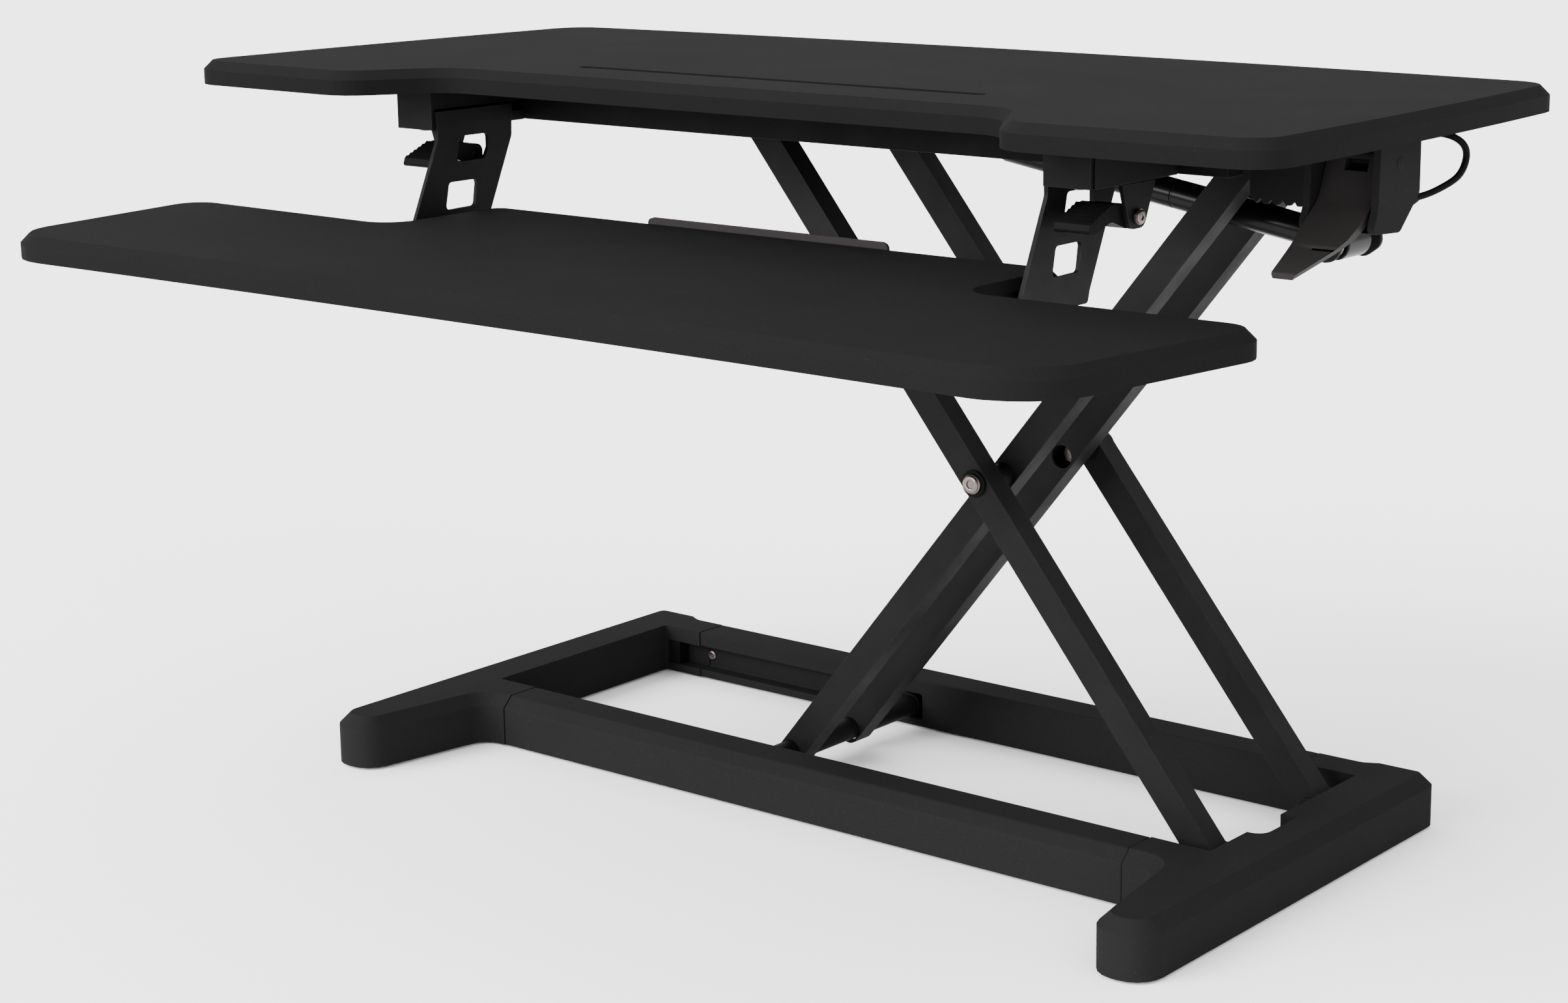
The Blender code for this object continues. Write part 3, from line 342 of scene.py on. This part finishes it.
def collar(name, at, axis, low, high, inner, outer, slot, body, lip=0.4):
    """A ring with softened rims round a rod."""
    bm = bmesh.new()
    profile = [
        (low, inner),
        (low, outer - lip),
        (low + lip, outer),
        (high - lip, outer),
        (high, outer - lip),
        (high, inner),
    ]
    loops = [ring(at, axis, along, radius) for along, radius in profile]
    made = [[bm.verts.new(point * MM) for point in loop] for loop in loops]
    for first, second in zip(made, made[1:] + made[:1]):
        for index in range(len(first)):
            after = (index + 1) % len(first)
            bm.faces.new((first[index], first[after], second[after], second[index]))
    bmesh.ops.recalc_face_normals(bm, faces=bm.faces)
    add(name, bm, slot, body)


def block(name, low, high, slot, body, edge=0.5):
    """A small moulded block with softened edges."""
    bm = bmesh.new()
    bmesh.ops.create_cube(bm, size=1.0)
    size = Vector(high) - Vector(low)
    middle = (Vector(high) + Vector(low)) / 2
    for vert in bm.verts:
        vert.co = Vector(a * b + c for a, b, c in zip(vert.co, size, middle)) * MM
    add(name, bm, slot, body, edge)


def centre_of(node):
    """The middle, low corner and high corner of a CAD node's box."""
    low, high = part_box(node)
    middle = [(a + b) / 2 / MM for a, b in zip(low, high)]
    return middle, [a / MM for a in low], [a / MM for a in high]


# ------------------------------------------------------------------ small hardware

# Bolt and screw heads: radius, height and half width of the socket.
CENTRE_BOLT = (6.2, 1.6, 2.6)
PIVOT_PIN = (6.6, 1.0, 2.5)
ANCHOR_PIN = (5.4, 1.5, 2.0)
LATCH_BOLT = (4.4, 1.2, 1.7)
MOUNT_SCREW = (4.2, 1.9, 1.8)
TRAY_SCREW = (3.8, 1.6, 1.7)
HOUSING_SCREW = (3.0, 0.8, 1.3)
TRACK_SCREW = (4.0, 1.0, 1.6)
CENTRE_BOLT_STAND_OFF = 3.2
ENDS = (("front", -1.0), ("rear", 1.0))

# Centre bolts: domed heads with a hex socket over the outer arms' washers.
for place, sign in ENDS:
    middle, low, high = centre_of(f"centre_washer_{place}")
    face = low[1] if sign < 0 else high[1]
    axis = (0, sign, 0)
    at = (middle[0], face + sign * CENTRE_BOLT_STAND_OFF, middle[2])
    bolt_head(f"centre_bolt_cap_{place}", at, axis, *CENTRE_BOLT, "bolt_steel", "outer_arms")
    seat = (middle[0], face, middle[2])
    washer = f"centre_spring_washer_{place}"
    collar(washer, seat, axis, 0.05, 1.0, 7.2, 9.4, "black_plastic", "outer_arms", 0.3)

# Lower pivots on the right foot: pin heads with a socket.
for place, sign in ENDS:
    middle, low, high = centre_of(f"pivot_pin_{place}")
    face = low[1] if sign < 0 else high[1]
    at = (middle[0], face, middle[2])
    bolt_head(f"pivot_pin_cap_{place}", at, (0, sign, 0), *PIVOT_PIN, "bolt_steel", "base")

# Gas spring: gland and wiper where the rod enters the cylinder, measured along it from the anchor.
SPRING_AXIS = (0.98741, 0.0, -0.15820)
ANCHOR = (0.0, 142.0, 488.0)
collar("gas_gland", ANCHOR, SPRING_AXIS, 94.5, 99.7, 4.5, 9.2, "gloss_paint", "spring_cylinder")
collar("gas_wiper", ANCHOR, SPRING_AXIS, 92.3, 94.4, 4.4, 6.8, "rubber", "spring_cylinder")

# Anchor pin: a head on each end.
middle, low, high = centre_of("anchor_pin")
for place, sign in ENDS:
    at = (middle[0], low[1] if sign < 0 else high[1], middle[2])
    bolt_head(f"anchor_pin_cap_{place}", at, (0, sign, 0), *ANCHOR_PIN, "bolt_steel", "worktop")

# Both sides: latch bolts, with a socket on the outer head, and the screws of the tray's mount and bracket.
MOUNT_SCREW_X = 282.0
MOUNT_SCREW_INSET = 9.0
TRAY_SCREWS = ((218.0, -58.0), (218.0, -22.0), (246.0, -40.0))
TRAY_SCREW_SEAT = 400.2
DOWN = (0, 0, -1)
for name, sign in (("left", -1.0), ("right", 1.0)):
    middle, low, high = centre_of(f"latch_bolt_{name}")
    face = low[0] if sign < 0 else high[0]
    at = (face, middle[1], middle[2])
    bolt_head(f"latch_bolt_cap_{name}", at, (sign, 0, 0), *LATCH_BOLT, "bolt_steel", "worktop")
    # Screws that hold the tray channels up to the board.
    middle, low, high = centre_of(f"mount_box_{name}")
    for index, y in enumerate((low[1] + MOUNT_SCREW_INSET, high[1] - MOUNT_SCREW_INSET)):
        at = (sign * MOUNT_SCREW_X, y, low[2])
        bolt_head(f"mount_screw_{name}_{index}", at, DOWN, *MOUNT_SCREW, "bolt_steel", "worktop", 4)
    # Screws up through each tray bracket's foot.
    for index, (x, y) in enumerate(TRAY_SCREWS):
        at = (sign * x, y, TRAY_SCREW_SEAT)
        bolt_head(f"tray_screw_{name}_{index}", at, DOWN, *TRAY_SCREW, "bolt_steel", "tray", 4)

# Handle housing: a flush plug over the pin on the outer cheek, and the assembly screws on the inner one.
LEVER_PIN_AT = (88.0, 489.0)
HOUSING_SCREWS = ((108.0, 497.0), (70.0, 458.0), (106.0, 474.0))
middle, low, high = centre_of("handle_housing")
plug = [(0.0, 4.4), (0.15, 4.4), (0.3, 4.1)]
lathe("lever_pin_cap", (high[0], *LEVER_PIN_AT), (1, 0, 0), plug, slot_of["handle_housing"], "worktop")
for index, (y, z) in enumerate(HOUSING_SCREWS):
    at = (low[0], y, z)
    bolt_head(f"housing_screw_{index}", at, (-1, 0, 0), *HOUSING_SCREW, "bolt_steel", "worktop", 4)

# Cable: a ridged strain relief where it leaves the housing, and a ferrule at the gas spring.
RIBS = 4
RIB_START = Vector((421.2, 114.4, 464.0))
RIB_STEP = Vector((0.0, 1.9, 0.12))
for index in range(RIBS):
    at = RIB_START + RIB_STEP * index
    outer = 4.0 - 0.3 * index
    rib = f"strain_relief_{index}"
    collar(rib, at, (0, 1, 0), 0.0, 1.5, 2.1, outer, "black_plastic", "worktop", 0.3)
FERRULE_AT = (22.0, 142.0, 496.2)
FERRULE_AXIS = (0.97, 0, 0.24)
collar("cable_ferrule", FERRULE_AT, FERRULE_AXIS, -3.0, 4.0, 2.1, 3.2, "bolt_steel", "worktop")

# Device slot: a soft strip along its floor.
LINER_HALF_LENGTH = 171.0
LINER_Y = (6.0, 14.0)
LINER_DEPTH = (8.05, 7.0)
middle, low, high = centre_of("desktop")
liner_low = (-LINER_HALF_LENGTH, LINER_Y[0], high[2] - LINER_DEPTH[0])
liner_high = (LINER_HALF_LENGTH, LINER_Y[1], high[2] - LINER_DEPTH[1])
block("slot_liner", liner_low, liner_high, "rubber", "worktop", 0.3)

# Tray strip: a raised bead along its upper edge.
middle, low, high = centre_of("tray_edge_strip")
bead_low = (low[0] + 4.0, low[1] + 0.2, high[2] - 1.4)
bead_high = (high[0] - 4.0, high[1] + 0.5, high[2] + 0.3)
block("tray_strip_bead", bead_low, bead_high, "grey_plastic", "tray", 0.4)

# Base: a low screw head at the end of the rear track, which the axle passes, and plugs under the frame.
TRACK_SCREW_AT = (-278.0, 253.9, 17.5)
PLUGS = ((-292.0, 27.0), (292.0, 27.0), (-292.0, 252.0), (292.0, 252.0))
PLUG_SEAT = 2.1
PLUG_PROFILE = [(0.0, 4.0), (0.5, 4.0), (0.9, 3.4)]
bolt_head("track_screw", TRACK_SCREW_AT, (0, -1, 0), *TRACK_SCREW, "bolt_steel", "base", 4)
for index, (x, y) in enumerate(PLUGS):
    lathe(f"base_plug_{index}", (x, y, PLUG_SEAT), DOWN, PLUG_PROFILE, "rubber", "base")


# ------------------------------------------------------------------ floor, light and camera

FLOOR_RADIUS = 30.0
FLOOR_COLOUR = (0.93, 0.93, 0.93)
WORLD_STRENGTH = 1.5
bm = bmesh.new()
bmesh.ops.create_circle(bm, cap_ends=True, segments=96, radius=FLOOR_RADIUS)
mesh = bpy.data.meshes.new("floor")
bm.to_mesh(mesh)
bm.free()
floor = bpy.data.objects.new("floor", mesh)
bpy.context.collection.objects.link(floor)
pale = Finish("floor", FLOOR_COLOUR, 0.9)
pale.vary_colour(pale.noise(1.5, 3.0), 0.3, 0.7, 0.995, 1.005)
mesh.materials.append(pale.material)

world = bpy.data.worlds.new("studio")
world.use_nodes = True
background = world.node_tree.nodes["Background"]
background.inputs["Color"].default_value = (1.0, 1.0, 1.0, 1.0)
background.inputs["Strength"].default_value = WORLD_STRENGTH
bpy.context.scene.world = world

LIGHTS = (
    # name, place that it shines from, spread in degrees, strength
    ("overhead", (-0.25, -0.1, 1.0), 90.0, 2.8),
    ("key", (-0.45, -1.0, 0.55), 50.0, 10.5),
    ("fill", (1.2, -0.5, 0.5), 50.0, 2.6),
)
for name, place, spread, strength in LIGHTS:
    lamp = bpy.data.lights.new(name, "SUN")
    lamp.energy = strength
    lamp.angle = math.radians(spread)
    made = bpy.data.objects.new(name, lamp)
    made.rotation_euler = (-Vector(place)).to_track_quat("-Z", "Y").to_euler()
    bpy.context.collection.objects.link(made)

CAMERA_AT = Vector((1.29229, -1.53011, 0.71188))
YAW = 0.666
PITCH = 0.2212
ROLL = -0.0069
LENS = 68.89636
SENSOR_WIDTH = 36.0
SHIFT = (-0.0561695, -0.0240881)
camera = bpy.data.cameras.new("camera")
camera.sensor_width = SENSOR_WIDTH
camera.sensor_fit = "HORIZONTAL"
camera.lens = LENS
camera.shift_x, camera.shift_y = SHIFT
camera.clip_start = 0.05
eye = bpy.data.objects.new("camera", camera)
bpy.context.collection.objects.link(eye)
level = Vector((-math.sin(YAW), math.cos(YAW), 0.0))
forward = level * math.cos(PITCH) - Vector((0.0, 0.0, math.sin(PITCH)))
right = Vector((math.cos(YAW), math.sin(YAW), 0.0))
up = right.cross(forward)
x_axis = right * math.cos(ROLL) + up * math.sin(ROLL)
y_axis = up * math.cos(ROLL) - right * math.sin(ROLL)
pose = Matrix((x_axis, y_axis, -forward)).transposed().to_4x4()
pose.translation = CAMERA_AT
eye.matrix_world = pose
bpy.context.scene.camera = eye
